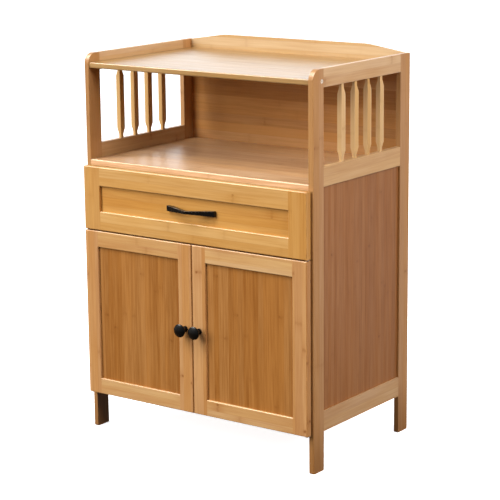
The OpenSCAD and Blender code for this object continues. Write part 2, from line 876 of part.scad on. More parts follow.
module knob() {
    color(BLACK) translate([knob_x, y_door, knob_z]) rotate([90, 0, 0]) difference() {
        rotate_extrude() knob_profile();
        translate([0, 0, -1])
            cylinder(h = knob_thread + 1, d = screw_d + 2 * run_fit);
    }
}

module knob_screw() {
    color(STEEL) translate([knob_x, y_door_back, knob_z]) machine_screw(door_t + knob_thread - end_fit);
}

// Pivot hinges: a flat plate with a riveted pin above and below each door, and bushes in its edges

module hinge_plate_outline() {
    tab = pin_d / 2 + tab_edge;
    inner = x_in - plate_w;
    outer = x_in - gap_fit;
    y_tab = y_front - gap_fit;
    polygon([
        [inner, y_front + plate_l], [inner, y_tab], [pivot_x - tab, y_tab], [pivot_x - tab, pivot_y],
        [pivot_x + tab, pivot_y], [pivot_x + tab, y_tab], [outer, y_tab], [outer, y_front + plate_l]
    ]);
    translate([pivot_x, pivot_y]) circle(tab);
}

// Both screw places of a plate, as (X, Y)
function plate_screw_places() = [
    for (y = [plate_screw_front, plate_l - plate_screw_rear]) [x_in - plate_w / 2, y_front + y]
];

// Plate against a surface at z, with its pin pointing up (+1) or down (-1)
module hinge_plate(z, up) {
    pin_l = plate_t + lift_fit + bush_l - pin_short;
    pin_z = up > 0 ? z - plate_t : z - pin_l;
    difference() {
        union() {
            translate([0, 0, z - plate_t]) linear_extrude(plate_t) hinge_plate_outline();
            translate([pivot_x, pivot_y, pin_z]) cylinder(h = pin_l, d = pin_d);
        }
        for (p = plate_screw_places()) {
            translate([p[0], p[1], z - plate_t - 1])
                cylinder(h = plate_t + 2, d = plate_screw_d + 2 * slack_fit);
        }
    }
}

module hinge_plates() {
    color(STEEL) for (s = [-1, 1]) on_side(s) {
        hinge_plate(cross_z, -1);
        hinge_plate(floor_z, 1);
    }
}

module hinge_screws() {
    color(STEEL) for (s = [-1, 1], z = [cross_z, floor_z]) on_side(s)
        for (p = plate_screw_places()) translate([p[0], p[1], z - plate_t]) {
            translate([0, 0, -plate_screw_head_h]) cylinder(h = plate_screw_head_h, d = 2 * plate_screw_d);
            cylinder(h = plate_screw_l, d = plate_screw_d);
        }
}

// Pilot holes of the hinge screws in what carries the plates
module hinge_pilots(z) {
    for (s = [-1, 1]) on_side(s) for (p = plate_screw_places()) {
        translate([p[0], p[1], z - 1])
            cylinder(h = plate_screw_l - plate_t + 1, d = plate_screw_d + 2 * run_fit);
    }
}

module door_bushes() {
    color(STEEL) for (z = [door_bottom, door_top - bush_l]) {
        translate([pivot_x, pivot_y, z]) difference() {
            cylinder(h = bush_l, d = bush_d);
            translate([0, 0, -1]) cylinder(h = bush_l + 2, d = pin_d + 2 * run_fit);
        }
    }
}

module door_catches() {
    y0 = y_door_back + strike_t + magnet_fit;
    color(BLACK) for (s = [-1, 1]) on_side(s)
        board([catch_x - catch_w / 2, y0, cross_z - catch_h], [catch_x + catch_w / 2, y0 + catch_d, cross_z]);
}

module door_strike() {
    w = catch_w * strike_part / 2;
    z1 = door_top - strike_drop;
    z0 = z1 - catch_h + strike_less;
    color(STEEL) board([catch_x - w, y_door_back, z0], [catch_x + w, y_door_back + strike_t, z1]);
}

on_side(-1) front_post();  // left_front_post
on_side(-1) rear_post();  // left_rear_post
on_side(-1) side_rail(top_rail_z, top_rail_h);  // left_top_rail
on_side(-1) side_rail(mid_rail_z, mid_rail_h);  // left_mid_rail
on_side(-1) side_rail(low_rail_z, low_rail_h);  // left_bottom_rail
on_side(-1) side_panel();  // left_side_panel
on_side(-1) spindles();  // left_spindles
front_post();  // right_front_post
rear_post();  // right_rear_post
side_rail(top_rail_z, top_rail_h);  // right_top_rail
side_rail(mid_rail_z, mid_rail_h);  // right_mid_rail
side_rail(low_rail_z, low_rail_h);  // right_bottom_rail
side_panel();  // right_side_panel
spindles();  // right_spindles
top_shelf();
gallery_board();
back_panel(mid_shelf_under, top_shelf_under);  // niche_back_panel
middle_shelf();
cross_rail();
cupboard_floor();
back_panel(floor_z, mid_shelf_under);  // cupboard_back_panel
loose_shelf();
shelf_pins();
shelf_bolts();
dowels();
cabinet_runners();
hinge_plates();
hinge_screws();
door_catches();
on_side(-1) drawer_stile();  // drawer_left_stile
drawer_stile();  // drawer_right_stile
drawer_rail(drawer_top - drawer_rail_w);  // drawer_top_rail
drawer_rail(drawer_bottom_z);  // drawer_bottom_rail
drawer_front_panel();
drawer_box_front();
on_side(-1) drawer_side();  // drawer_left_side
drawer_side();  // drawer_right_side
drawer_back();
drawer_bottom();
drawer_runners();
drawer_pull();
pull_screws();
on_side(-1) door_hinge_stile();  // left_door_hinge_stile
on_side(-1) door_meeting_stile();  // left_door_meeting_stile
on_side(-1) door_rail(door_top - door_frame_w);  // left_door_top_rail
on_side(-1) door_rail(door_bottom);  // left_door_bottom_rail
on_side(-1) door_panel();  // left_door_panel
on_side(-1) knob();  // left_door_knob
on_side(-1) knob_screw();  // left_door_knob_screw
on_side(-1) door_bushes();  // left_door_bushes
on_side(-1) door_strike();  // left_door_strike
door_hinge_stile();  // right_door_hinge_stile
door_meeting_stile();  // right_door_meeting_stile
door_rail(door_top - door_frame_w);  // right_door_top_rail
door_rail(door_bottom);  // right_door_bottom_rail
door_panel();  // right_door_panel
knob();  // right_door_knob
knob_screw();  // right_door_knob_screw
door_bushes();  // right_door_bushes
door_strike();  // right_door_strike
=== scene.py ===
"""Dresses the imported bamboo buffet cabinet: laminated bamboo boards, black handles and steel fittings."""

import json
import math
import random

import bmesh
import bpy
from mathutils import Matrix, Vector


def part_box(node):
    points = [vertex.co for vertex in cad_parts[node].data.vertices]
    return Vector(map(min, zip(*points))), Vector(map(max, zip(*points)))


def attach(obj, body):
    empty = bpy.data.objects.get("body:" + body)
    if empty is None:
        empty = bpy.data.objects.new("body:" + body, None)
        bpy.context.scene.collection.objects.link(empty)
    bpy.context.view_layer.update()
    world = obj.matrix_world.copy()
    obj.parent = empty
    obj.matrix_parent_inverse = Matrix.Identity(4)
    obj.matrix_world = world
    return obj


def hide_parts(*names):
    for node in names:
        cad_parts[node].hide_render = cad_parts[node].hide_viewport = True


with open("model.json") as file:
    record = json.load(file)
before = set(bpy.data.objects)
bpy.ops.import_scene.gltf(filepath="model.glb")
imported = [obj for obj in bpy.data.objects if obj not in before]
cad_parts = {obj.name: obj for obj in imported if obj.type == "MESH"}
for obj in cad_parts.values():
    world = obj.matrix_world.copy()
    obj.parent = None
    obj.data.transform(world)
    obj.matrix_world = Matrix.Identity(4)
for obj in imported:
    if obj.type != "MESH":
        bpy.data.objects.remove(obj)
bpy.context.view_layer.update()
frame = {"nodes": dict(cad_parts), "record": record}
NODES = frame["nodes"]
BODY_OF = {
    node: body
    for body, nodes in frame["record"]["behaviour"]["bodies"].items()
    for node in nodes
}
SIDES = ("left", "right")
X, Y, Z = 0, 1, 2

# Node helpers

FLOAT, COLOUR, VECTOR = "NodeSocketFloat", "NodeSocketColor", "NodeSocketVector"
WHITE = (1, 1, 1, 1)


def grey(level):
    return level, level, level, 1


class Graph:
    """A node tree with short calls for the nodes that the finishes use."""

    def __init__(self, tree):
        self.tree = tree

    def node(self, kind, **settings):
        made = self.tree.nodes.new(kind)
        for name, value in settings.items():
            setattr(made, name, value)
        return made

    def feed(self, socket, value):
        if isinstance(value, bpy.types.NodeSocket):
            self.tree.links.new(value, socket)
        elif value is not None:
            socket.default_value = value

    def feed_all(self, sockets, **values):
        """Feeds sockets by label, written with _ for each space."""
        for label, value in values.items():
            self.feed(sockets[label.replace("_", " ")], value)

    def math(self, operation, a, b=None, c=None, clamp=False):
        made = self.node("ShaderNodeMath", operation=operation, use_clamp=clamp)
        for socket, value in zip(made.inputs, (a, b, c)):
            self.feed(socket, value)
        return made.outputs[0]

    def times(self, a, b, clamp=False):
        return self.math("MULTIPLY", a, b, clamp=clamp)

    def plus(self, a, b, clamp=False):
        return self.math("ADD", a, b, clamp=clamp)

    def swing(self, value, amount):
        """A value from 0 to 1 turned into a swing of that amount about zero."""
        return self.times(self.math("SUBTRACT", value, 0.5), amount)

    def mix(self, share, a, b, blend="MIX"):
        made = self.node("ShaderNodeMix", data_type="RGBA", blend_type=blend)
        made.clamp_factor = True
        self.feed(made.inputs[0], share)
        self.feed(made.inputs[6], a)
        self.feed(made.inputs[7], b)
        return made.outputs[2]

    def ramp(self, value, low, high, to_low=0.0, to_high=1.0, smooth=True):
        made = self.node("ShaderNodeMapRange")
        made.interpolation_type = "SMOOTHSTEP" if smooth else "LINEAR"
        for socket, number in zip(made.inputs, (value, low, high, to_low, to_high)):
            self.feed(socket, number)
        return made.outputs[0]

    def fade(self, distance, full, gone):
        """1 up to the distance full, then less, and 0 from the distance gone on."""
        return self.ramp(distance, full, gone, 1.0, 0.0)

    def noise(self, place, scale, detail=2.0, roughness=0.5):
        made = self.node("ShaderNodeTexNoise")
        self.feed_all(made.inputs, Vector=place, Scale=scale, Detail=detail, Roughness=roughness)
        return made.outputs["Fac"]

    def pair(self, x, y):
        made = self.node("ShaderNodeCombineXYZ")
        self.feed(made.inputs[0], x)
        self.feed(made.inputs[1], y)
        return made.outputs[0]

    def grain_noise(self, u, v, waves, detail, roughness=0.5):
        """Noise with so many waves a metre along and across the grain."""
        along, across = waves
        place = self.pair(self.times(u, along), self.times(v, across))
        return self.noise(place, 1.0, detail, roughness)

    def chance(self, x, y):
        """A number from 0 to 1 that is fixed for each pair of whole numbers."""
        made = self.node("ShaderNodeTexWhiteNoise", noise_dimensions="2D")
        self.feed(made.inputs["Vector"], self.pair(x, y))
        return made.outputs["Value"]

    def bump(self, height, strength, distance):
        made = self.node("ShaderNodeBump")
        self.feed_all(made.inputs, Strength=strength, Distance=distance, Height=height)
        return made.outputs[0]

    def object_place(self):
        return self.node("ShaderNodeTexCoord").outputs["Object"]


def new_group(name, inputs, outputs):
    """An empty shader group with (name, kind, default) inputs and (name, kind) outputs."""
    tree = bpy.data.node_groups.new(name, "ShaderNodeTree")
    for label, kind, default in inputs:
        socket = tree.interface.new_socket(label, in_out="INPUT", socket_type=kind)
        if default is not None:
            socket.default_value = default
    for label, kind in outputs:
        tree.interface.new_socket(label, in_out="OUTPUT", socket_type=kind)
    g = Graph(tree)
    return tree, g, g.node("NodeGroupInput").outputs, g.node("NodeGroupOutput").inputs


def new_material(name):
    material = bpy.data.materials.new(name)
    material.use_nodes = True
    return material, Graph(material.node_tree), material.node_tree.nodes["Principled BSDF"].inputs


# Laminated bamboo

# How far marks reach, in metres
GLUE_REACH, BAND_REACH, CLOUD_REACH = (0.00005, 0.0007), (0.0, 0.006), (0.0, 0.028)
KNOT_ALONG, KNOT_ACROSS, NODE_WOBBLE = (0.0008, 0.0042), (0.0012, 0.0045), 0.008
# Waves a metre along and across the grain
FIBRE_WAVES, STREAK_WAVES, WOBBLE_WAVES = (14.0, 1300.0), (8.0, 210.0), (30.0, 170.0)
DRIFT_WAVES, HUE_WAVES = (2.6, 12.0), (4.5, 26.0)
# Shares of the deep colour and of the marks' colour
MEAN_DEPTH, DRIFT_DEPTH, CLOUD_DEPTH = 0.45, 0.9, 0.35
GLUE_SHADE, BAND_SHADE, NODE_SHADE = 0.16, 0.4, 0.85
# The power from which a node begins to show a knot, and the power at which the knot is whole
KNOT_POWER = (0.5, 0.85)
STRAW, ORANGE = (1.03, 1.07, 1.2, 1), (0.97, 0.91, 0.78, 1)
# Whole numbers that keep the draws for one strip or one node apart
TONE_DRAW, SHIFT_DRAW, HUE_DRAW, POWER_DRAW, CENTRE_DRAW = 3.0, 11.0, 23.0, 40.0, (9.0, 70.0)


def build_bamboo_group():
    """Laminated bamboo: parallel strips with fibres, darker culm nodes and thin glue lines."""
    tree, g, given, out = new_group(
        "laminated_bamboo",
        [
            ("Grain Place", VECTOR, None),
            ("Strip Width", FLOAT, 0.019),
            ("Node Spacing", FLOAT, 0.28),
            ("Node Strength", FLOAT, 0.5),
            ("Strip Contrast", FLOAT, 0.5),
            ("Fibre Contrast", FLOAT, 0.5),
            ("Hue Contrast", FLOAT, 0.9),
            ("Light Colour", COLOUR, (0.6, 0.35, 0.12, 1)),
            ("Deep Colour", COLOUR, (0.4, 0.2, 0.06, 1)),
            ("Node Colour", COLOUR, (0.2, 0.08, 0.02, 1)),
        ],
        [("Colour", COLOUR), ("Sheen Mask", FLOAT), ("Height", FLOAT)],
    )
    place = g.node("ShaderNodeSeparateXYZ")
    g.feed(place.inputs[0], given["Grain Place"])
    u, v = place.outputs[0], place.outputs[1]
    width, spacing, strength = given["Strip Width"], given["Node Spacing"], given["Node Strength"]

    across = g.math("DIVIDE", v, width)
    strip = g.math("FLOOR", across)
    inside = g.math("FRACT", across)
    tone = g.chance(strip, TONE_DRAW)

    # Thin glue line where two strips meet
    edge = g.times(g.math("MINIMUM", inside, g.math("SUBTRACT", 1.0, inside)), width)
    glue = g.fade(edge, *GLUE_REACH)

    # One culm node in each cell along a strip, at its own place and with its own power
    run = g.plus(g.math("DIVIDE", u, spacing), g.times(tone, 17.0))
    cell = g.math("FLOOR", run)
    spot = g.math("MULTIPLY_ADD", g.chance(strip, cell), 0.7, 0.15)
    power = g.chance(cell, g.plus(strip, POWER_DRAW))
    wobble = g.swing(g.grain_noise(u, v, WOBBLE_WAVES, 2.0), NODE_WOBBLE)
    away = g.times(g.math("SUBTRACT", g.math("FRACT", run), spot), spacing)
    away = g.math("ABSOLUTE", g.plus(wobble, away))

    # A node is a short dark knot in a part of the strip's width, a faint band and a soft cloud
    centre = g.chance(g.plus(cell, CENTRE_DRAW[0]), g.plus(strip, CENTRE_DRAW[1]))
    beside = g.times(g.math("ABSOLUTE", g.math("SUBTRACT", inside, centre)), width)
    knot = g.times(g.fade(away, *KNOT_ALONG), g.fade(beside, *KNOT_ACROSS))
    knot = g.times(knot, g.ramp(power, *KNOT_POWER))
    band = g.times(g.fade(away, *BAND_REACH), g.times(power, BAND_SHADE))
    mark = g.times(g.math("MAXIMUM", knot, band), strength, clamp=True)
    cloud = g.times(g.times(g.fade(away, *CLOUD_REACH), power), strength, clamp=True)

    # Fibres, streaks and a slow drift of tone along the boards
    shifted = g.plus(v, g.times(g.chance(strip, SHIFT_DRAW), 0.7))
    fine = g.grain_noise(u, shifted, FIBRE_WAVES, 3.0, 0.6)
    streak = g.grain_noise(u, shifted, STREAK_WAVES, 3.0, 0.6)
    drift = g.grain_noise(u, v, DRIFT_WAVES, 3.0, 0.55)
    fibre = g.ramp(g.math("MULTIPLY_ADD", fine, 0.35, g.times(streak, 0.65)), 0.3, 0.7)

    depth = g.plus(g.swing(tone, given["Strip Contrast"]), g.swing(fibre, given["Fibre Contrast"]))
    depth = g.plus(g.plus(depth, g.swing(drift, DRIFT_DEPTH)), MEAN_DEPTH)
    depth = g.plus(depth, g.times(cloud, CLOUD_DEPTH), clamp=True)
    colour = g.mix(depth, given["Light Colour"], given["Deep Colour"])

    # Some strips and stretches lean to straw yellow and others to orange
    patch = g.grain_noise(u, shifted, HUE_WAVES, 2.0)
    hue = g.math("MULTIPLY_ADD", g.chance(strip, HUE_DRAW), 0.4, g.times(patch, 0.6))
    tint = g.mix(g.ramp(hue, 0.3, 0.7), STRAW, ORANGE)
    colour = g.mix(given["Hue Contrast"], colour, g.mix(1.0, colour, tint, "MULTIPLY"))
    colour = g.mix(g.times(glue, GLUE_SHADE), colour, given["Node Colour"])
    colour = g.mix(g.times(mark, NODE_SHADE), colour, given["Node Colour"])

    height = g.math("SUBTRACT", g.times(fibre, 0.5), g.times(glue, 0.5))
    g.feed(out["Colour"], colour)
    g.feed(out["Sheen Mask"], fibre)
    g.feed(out["Height"], g.plus(height, g.times(mark, 0.3)))
    return tree


# Height in metres up to which painted shade darkens the boards towards the floor
PAINTED_SHADE_HEIGHT = 0.13


def build_painted_floor_shade_group():
    """Painted shade near the floor: keeps only a share of each colour there, so that the posts' feet are
    darker.
    """
    tree, g, given, out = new_group(
        "painted_floor_shade",
        [("Place", VECTOR, None), ("Colour", COLOUR, WHITE), ("Kept At Floor", COLOUR, WHITE)],
        [("Colour", COLOUR)],
    )
    place = g.node("ShaderNodeSeparateXYZ")
    g.feed(place.inputs[0], given["Place"])
    kept = g.mix(g.ramp(place.outputs[2], 0.0, PAINTED_SHADE_HEIGHT), given["Kept At Floor"], WHITE)
    g.feed(out["Colour"], g.mix(1.0, given["Colour"], kept, "MULTIPLY"))
    return tree


DRAWN_WAVES, STAIN_WAVES = (700, 25, 700), 35.0


def build_plating_group():
    """Plated metal: faint drawing lines along the cabinet's depth, and stains."""
    tree, g, given, out = new_group(
        "drawn_plating",
        [("Place", VECTOR, None)],
        [("Drawn Lines", FLOAT), ("Stain", FLOAT)],
    )
    lines = g.node("ShaderNodeMapping")
    g.feed_all(lines.inputs, Vector=given["Place"], Scale=DRAWN_WAVES)
    g.feed(out["Drawn Lines"], g.ramp(g.noise(lines.outputs[0], 1.0), 0.3, 0.7))
    g.feed(out["Stain"], g.noise(given["Place"], STAIN_WAVES, 3.0))
    return tree


BAMBOO_GROUP = build_bamboo_group()
PAINTED_SHADE_GROUP = build_painted_floor_shade_group()
PLATING_GROUP = build_plating_group()

# Finishes

# Shares of the deep colour in a knot, and of a board's colour kept at the floor by painted shade
KNOT_TINT, PAINTED_SHADE_TINT = (0.55, 0.4, 0.25), (1.0, 0.9, 0.75)
# What the grain takes from a board's roughness and adds to it
SMOOTHER, ROUGHER = -0.05, 0.07
# Strength of a bump and its height in metres
GRAIN_BUMP, PEEL_BUMP = (0.35, 0.00025), (0.12, 0.0001)


def bamboo(name, light, deep, strip=0.019, spacing=0.28, nodes=0.6, strips=0.5, fibres=0.5,
           gloss=0.36, coat=0.06, painted_shade_kept=1.0, coat_rough=0.22):
    """A lacquered bamboo board finish; a floor share below 1 paints shade over its feet, keeping that share
    of its brightness at the floor.
    """
    material, g, shader = new_material(name)
    wood = g.node("ShaderNodeGroup", node_tree=BAMBOO_GROUP)
    g.feed_all(
        wood.inputs, Grain_Place=g.node("ShaderNodeUVMap", uv_map="Grain").outputs[0],
        Strip_Width=strip, Node_Spacing=spacing, Node_Strength=nodes,
        Strip_Contrast=strips, Fibre_Contrast=fibres,
        Light_Colour=(*light, 1), Deep_Colour=(*deep, 1),
        Node_Colour=(*(c * kept for c, kept in zip(deep, KNOT_TINT)), 1),
    )
    colour = wood.outputs["Colour"]
    # Painted shade: darker and warmer towards the floor
    if painted_shade_kept < 1:
        darker = g.node("ShaderNodeGroup", node_tree=PAINTED_SHADE_GROUP)
        g.feed_all(darker.inputs, Place=g.object_place(), Colour=colour,
                   Kept_At_Floor=(*(painted_shade_kept * kept for kept in PAINTED_SHADE_TINT), 1))
        colour = darker.outputs["Colour"]
    rough = g.ramp(wood.outputs["Sheen Mask"], 0.0, 1.0, gloss + SMOOTHER, gloss + ROUGHER,
                   smooth=False)
    g.feed_all(shader, Base_Color=colour, Roughness=rough, Specular_IOR_Level=0.3,
               Coat_Weight=coat, Coat_Roughness=coat_rough,
               Normal=g.bump(wood.outputs["Height"], *GRAIN_BUMP))
    return material


def powder_coat():
    """Satin black powder coat with a fine orange-peel grain."""
    material, g, shader = new_material("black_powder_coat")
    patches = g.noise(g.object_place(), 60.0, 3.0)
    peel = g.noise(g.object_place(), 900.0)
    g.feed_all(shader, Base_Color=g.mix(patches, grey(0.0015), grey(0.004)),
               Roughness=g.ramp(patches, 0.3, 0.7, 0.2, 0.3), Specular_IOR_Level=0.35,
               Normal=g.bump(peel, *PEEL_BUMP))
    return material


def plated(name, colour, roughness, metallic=1.0):
    """Plated metal; a matt plating is only partly metallic."""
    material, g, shader = new_material(name)
    plating = g.node("ShaderNodeGroup", node_tree=PLATING_GROUP)
    g.feed(plating.inputs["Place"], g.object_place())
    stained = tuple(0.82 * c for c in colour)
    rough = g.ramp(plating.outputs["Drawn Lines"], 0.0, 1.0, roughness - 0.06, roughness + 0.08,
                   smooth=False)
    g.feed_all(shader, Base_Color=g.mix(plating.outputs["Stain"], (*stained, 1), (*colour, 1)),
               Metallic=metallic, Roughness=rough)
    return material


def matt_plastic():
    """Black moulded plastic of the door catches."""
    material, g, shader = new_material("catch_plastic")
    grain = g.noise(g.object_place(), 1400.0)
    g.feed_all(shader, Base_Color=g.mix(grain, grey(0.02), grey(0.035)),
               Roughness=g.ramp(grain, 0.3, 0.7, 0.5, 0.62))
    return material


# The frame and post finishes are darkened towards the floor with painted shade
FINISHES = {
    "frame": bamboo("frame_bamboo", (0.58, 0.39, 0.21), (0.43, 0.24, 0.11), painted_shade_kept=0.8),
    "post": bamboo("post_bamboo", (0.47, 0.26, 0.11), (0.34, 0.16, 0.055), painted_shade_kept=0.7),
    "spindle": bamboo("spindle_bamboo", (0.63, 0.41, 0.19), (0.5, 0.3, 0.11), strip=0.03),
    "front": bamboo("front_bamboo", (0.61, 0.36, 0.13), (0.46, 0.23, 0.059), fibres=0.6),
    "front_stile": bamboo("front_stile_bamboo", (0.54, 0.29, 0.084), (0.41, 0.18, 0.04),
                          nodes=0.7, fibres=0.6),
    "door_frame": bamboo("door_stile_bamboo", (0.54, 0.29, 0.11), (0.4, 0.18, 0.058),
                         nodes=1.0, fibres=0.6),
    "door_rail": bamboo("door_rail_bamboo", (0.59, 0.37, 0.16), (0.44, 0.22, 0.083),
                        nodes=0.9, fibres=0.6),
    "top": bamboo("top_bamboo", (0.41, 0.24, 0.088), (0.3, 0.16, 0.049),
                  strip=0.02, strips=0.3, fibres=0.8, gloss=0.34, coat=0.4),
    "gallery": bamboo("gallery_bamboo", (0.58, 0.41, 0.21), (0.45, 0.27, 0.12), strips=0.3),
    "shelf": bamboo("shelf_bamboo", (0.69, 0.44, 0.23), (0.53, 0.29, 0.13),
                    strip=0.02, fibres=1.25, gloss=0.35, coat=0.36, coat_rough=0.3),
    "panel": bamboo("side_panel_bamboo", (0.33, 0.14, 0.044), (0.23, 0.086, 0.023),
                    strip=0.011, spacing=0.33, nodes=0.45, fibres=0.8),
    "door_panel": bamboo("door_panel_bamboo", (0.39, 0.17, 0.043), (0.26, 0.096, 0.017),
                         strip=0.013, spacing=0.33, nodes=0.45, strips=0.48, fibres=0.9),
    "drawer_panel": bamboo("drawer_panel_bamboo", (0.55, 0.28, 0.067), (0.39, 0.15, 0.024),
                           nodes=0.7, strips=0.35),
    "back": bamboo("back_bamboo", (0.54, 0.27, 0.092), (0.35, 0.15, 0.04),
                   strip=0.021, nodes=0.4, strips=0.85),
    "box": bamboo("drawer_box_bamboo", (0.62, 0.38, 0.18), (0.5, 0.28, 0.12), gloss=0.5, coat=0.0),
    "black": powder_coat(),
    "steel": plated("zinc_plate", (0.7, 0.69, 0.66), 0.36),
    "bolt": plated("matt_nickel", (0.95, 0.86, 0.74), 0.5, metallic=0.3),
    "brass": plated("brass", (0.7, 0.5, 0.22), 0.32),
    "plastic": matt_plastic(),
}

# Shaping and shading of the pieces

# Distances in metres within which corners are one, an edge is on a face and an edge is in a joint
SAME_PLACE, ON_FACE, JOINT_REACH = 0.000001, 0.0001, 0.002
# How far an upright edge's direction rises, at the least
UPRIGHT = 0.9
# Edges shorter than the first length stay sharp, and an ease above the second is a plain chamfer
SHORT_EDGE, CHAMFER = 0.0012, 0.001
# Angles in degrees: faces that are one, edges that are eased, and faces that are shaded as a round
FLAT, BOARD_CORNER, PULL_CORNER, BOARD_ROUND, FITTING_ROUND = 0.5, 30, 25, 40, 24
# Another seed cuts every board from another piece of bamboo
SEED = "0"
# Where a board's edges and ends lie in that piece, beside its broad faces
EDGE_SHIFT, END_SHIFT, END_SQUEEZE = 0.31, 0.7, 0.25


def even_normals(data, limit):
    """Shades flat faces flat and rounds smooth: larger faces count for more at each corner."""
    normals = [Vector(face.normal) for face in data.polygons]
    areas = [face.area for face in data.polygons]
    around = [[] for _ in data.vertices]
    for face in data.polygons:
        for corner in face.vertices:
            around[corner].append(face.index)
    least = math.cos(math.radians(limit))
    result = []
    for face in data.polygons:
        own = normals[face.index]
        for corner in face.vertices:
            total = Vector()
            for other in around[corner]:
                if normals[other].dot(own) > least:
                    total += normals[other] * areas[other]
            result.append(total.normalized() if total.length > 0 else own)
    data.normals_split_custom_set(result)


def node_shape(node):
    """A node's solid as a bmesh whose faces share their corners."""
    shape = bmesh.new()
    shape.from_mesh(NODES[node].data)
    bmesh.ops.remove_doubles(shape, verts=shape.verts, dist=SAME_PLACE)
    return shape


def join_flat_faces(shape):
    bmesh.ops.dissolve_limit(shape, angle_limit=math.radians(FLAT), verts=shape.verts,
                             edges=shape.edges)


def is_corner(edge, angle):
    """True for an outer edge whose two faces meet at more than an angle in degrees."""
    return len(edge.link_faces) == 2 and edge.is_convex and edge.calc_face_angle(0) > math.radians(angle)


def ease_edges(shape, edges, ease, segments):
    bmesh.ops.bevel(shape, geom=edges, offset=ease, segments=segments, profile=0.5, affect="EDGES",
                    clamp_overlap=True)


def show_in_place(node, name, shape, finish, limit):
    """Shows a shape in place of its node, shaded smooth where faces meet at less than the limit."""
    data = bpy.data.meshes.new(name)
    shape.to_mesh(data)
    shape.free()
    piece = bpy.data.objects.new(name, data)
    bpy.context.collection.objects.link(piece)
    data.materials.append(FINISHES[finish])
    for face in data.polygons:
        face.use_smooth = True
    even_normals(data, limit)
    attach(piece, BODY_OF[node])
    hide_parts(node)


# Boards

# The framed front that each stile belongs to
STILES = {f"drawer_{side}_stile": "drawer" for side in SIDES}
for side in SIDES:
    for part in ("hinge_stile", "meeting_stile"):
        STILES[f"{side}_door_{part}"] = f"{side}_door"


def map_grain(shape, low, high, along, luck):
    """Lays the grain map over a board: u runs along the fibres and v across the strips, in metres."""
    size = [high[i] - low[i] for i in range(3)]
    across, through = sorted((i for i in range(3) if i != along), key=lambda i: -size[i])
    du, dv = luck.uniform(0, 9), luck.uniform(0, 5)
    layer = shape.loops.layers.uv.new("Grain")
    for face in shape.faces:
        normal = face.normal
        main = max(range(3), key=lambda i: abs(normal[i]))
        for loop in face.loops:
            place = loop.vert.co
            if main == through:
                u, v = place[along], place[across]
            elif main == across:
                u, v = place[along], place[through] + EDGE_SHIFT
            else:
                u, v = place[through] * END_SQUEEZE + END_SHIFT, place[across]
            loop[layer].uv = (u + du, v + dv)


def free_edge(node):
    """x of a stile's inner edge and the heights between which no rail meets it, or None."""
    if node not in STILES:
        return None
    bottom_rail, top_rail = (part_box(f"{STILES[node]}_{part}_rail") for part in ("bottom", "top"))
    middle = (bottom_rail[0][0] + bottom_rail[1][0]) / 2
    low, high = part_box(node)
    inner = min(low[0], high[0], key=lambda x: abs(x - middle))
    return inner, bottom_rail[1][2], top_rail[0][2]


def in_joint(edge, node, along, free):
    """True where an upright edge lies in a joint between a rail and a stile of a framed front."""
    a, b = (v.co for v in edge.verts)
    if abs((b - a).normalized().z) < UPRIGHT:
        return False
    if node.endswith("rail") and along == X:
        return True
    if free is None:
        return False
    inner, bottom, top = free
    middle = (a + b) / 2
    return abs(middle.x - inner) < JOINT_REACH and not bottom < middle.z < top


def on_face(edge, low, high):
    """True where an edge lies in the front or back face of a box."""
    y = (edge.verts[0].co.y + edge.verts[1].co.y) / 2
    return min(abs(y - low[1]), abs(y - high[1])) < ON_FACE


def add_board(node, finish, along, ease):
    """A node's board with eased edges and its grain laid along one axis."""
    name = node + "_wood"
    low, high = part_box(node)
    shape = node_shape(node)
    join_flat_faces(shape)
    free = free_edge(node)
    for height in free[1:] if free else ():
        bmesh.ops.bisect_plane(shape, geom=shape.verts[:] + shape.edges[:] + shape.faces[:],
                               plane_co=(0, 0, height), plane_no=(0, 0, 1))
    edges = [
        edge for edge in shape.edges
        if is_corner(edge, BOARD_CORNER) and edge.calc_length() > SHORT_EDGE
        and not in_joint(edge, node, along, free)
        and (ease < CHAMFER or on_face(edge, low, high))
    ]
    ease_edges(shape, edges, ease, 1 if ease > CHAMFER else 2)
    shape.normal_update()
    map_grain(shape, low, high, along, random.Random(name + SEED))
    show_in_place(node, name, shape, finish, BOARD_ROUND)


# How far edges are eased, in metres
DOWEL_EASE, PANEL_EASE, SPINDLE_EASE, BOARD_EASE = 0.0002, 0.0003, 0.0004, 0.0006
FRAME_EASE, LOOSE_EASE, FRONT_EASE = 0.0007, 0.0008, 0.0013
# Each board's finish, the axis that its grain follows and its edges' ease
BOARDS = {}
for side in SIDES:
    for part in ("front_post", "rear_post"):
        BOARDS[f"{side}_{part}"] = ("post", Z, FRAME_EASE)
    for part in ("top_rail", "mid_rail", "bottom_rail"):
        BOARDS[f"{side}_{part}"] = ("frame", Y, FRAME_EASE)
    BOARDS[f"{side}_spindles"] = ("spindle", Z, SPINDLE_EASE)
    BOARDS[f"{side}_side_panel"] = ("panel", Z, PANEL_EASE)
    for part in ("hinge_stile", "meeting_stile"):
        BOARDS[f"{side}_door_{part}"] = ("door_frame", Z, FRONT_EASE)
    for part in ("top_rail", "bottom_rail"):
        BOARDS[f"{side}_door_{part}"] = ("door_rail", X, FRONT_EASE)
    BOARDS[f"{side}_door_panel"] = ("door_panel", Z, PANEL_EASE)
    BOARDS[f"drawer_{side}_stile"] = ("front_stile", Z, FRONT_EASE)
    BOARDS[f"drawer_{side}_side"] = ("box", Y, BOARD_EASE)
